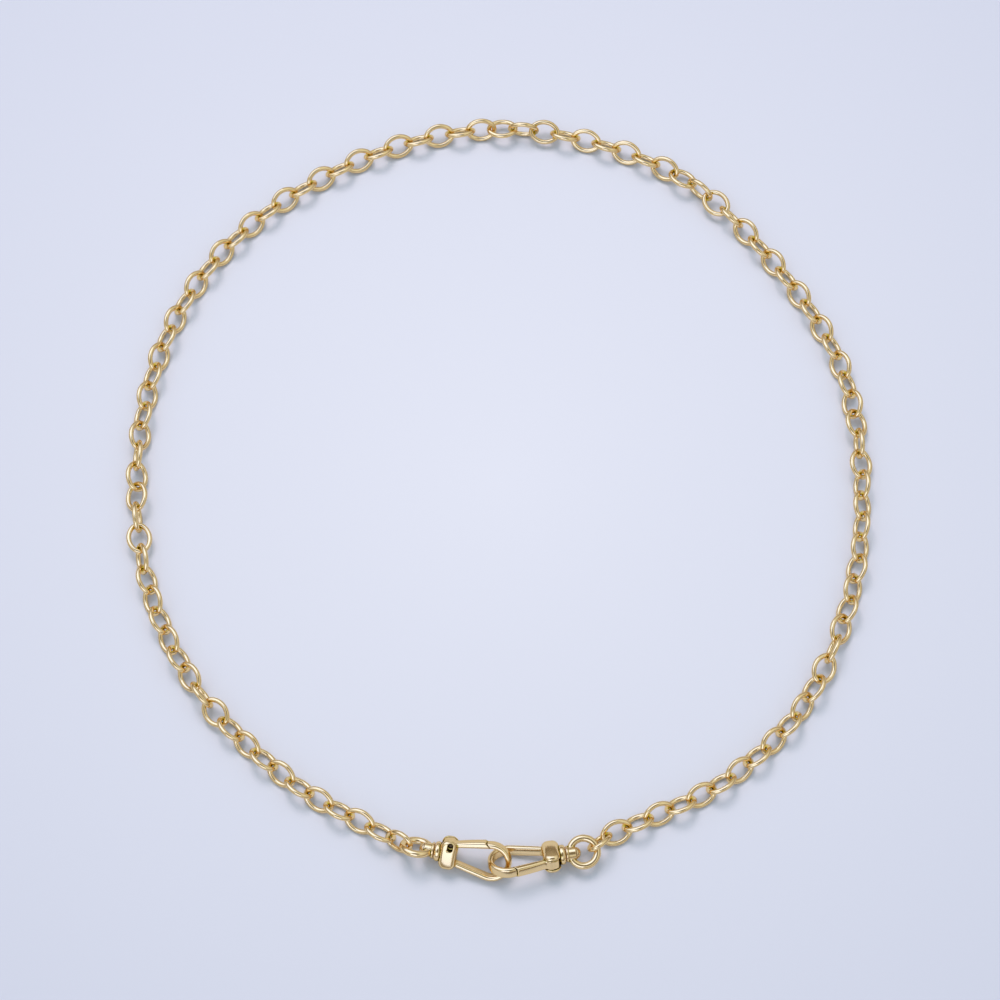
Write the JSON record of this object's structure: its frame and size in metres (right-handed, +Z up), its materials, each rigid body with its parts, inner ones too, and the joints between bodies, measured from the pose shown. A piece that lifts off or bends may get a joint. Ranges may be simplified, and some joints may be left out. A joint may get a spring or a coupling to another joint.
{
  "type": "rolo chain necklace",
  "caption": "Closed neck chain of oval wire links whose two ends carry a swivel clasp each, hooked into one another.",
  "frame": {"origin": "on the surface that the necklace lies on, under the middle of its outline", "axes": "+Z up from the surface, -Y towards the clasps, +X towards the right clasp"},
  "size_m": [0.1432, 0.158, 0.0061],
  "materials": {
    "links": "polished gold plate",
    "hooks": "polished gold plate",
    "gates": "polished gold plate",
    "rings": "polished gold plate",
    "pins": "polished gold plate"
  },
  "bodies": {
    "necklace": {"chain_left": "links", "chain_right": "links", "left_hook": "hooks", "left_hinge_pin": "pins", "left_swivel_pin": "pins", "right_hook": "hooks", "right_hinge_pin": "pins", "right_swivel_pin": "pins"},
    "left_gate": {"left_gate": "gates"},
    "right_gate": {"right_gate": "gates"},
    "left_ring": {"left_swivel_ring": "rings"},
    "right_ring": {"right_swivel_ring": "rings"}
  },
  "joints": [
    {"name": "left_gate_hinge", "type": "hinge", "parent": "necklace", "child": "left_gate", "pos_m": [-0.00873, -0.07265, 0.00423], "axis": [-0.1204, -0.6314, 0.766], "range_deg": [-12, 0], "stiffness_Nm_per_rad": 0.002},
    {"name": "right_gate_hinge", "type": "hinge", "parent": "necklace", "child": "right_gate", "pos_m": [0.00925, -0.07616, 0.00399], "axis": [-0.0757, 0.5829, 0.809], "range_deg": [-8, 0], "stiffness_Nm_per_rad": 0.002},
    {"name": "left_swivel", "type": "hinge", "parent": "necklace", "child": "left_ring", "pos_m": [-0.01078, -0.07378, 0.00298], "axis": [0.9823, -0.1874, 0], "range_deg": [-12, 12]},
    {"name": "right_swivel", "type": "hinge", "parent": "necklace", "child": "right_ring", "pos_m": [0.01083, -0.07437, 0.00285], "axis": [-0.9917, -0.1288, 0], "range_deg": [-24, 8]}
  ]
}
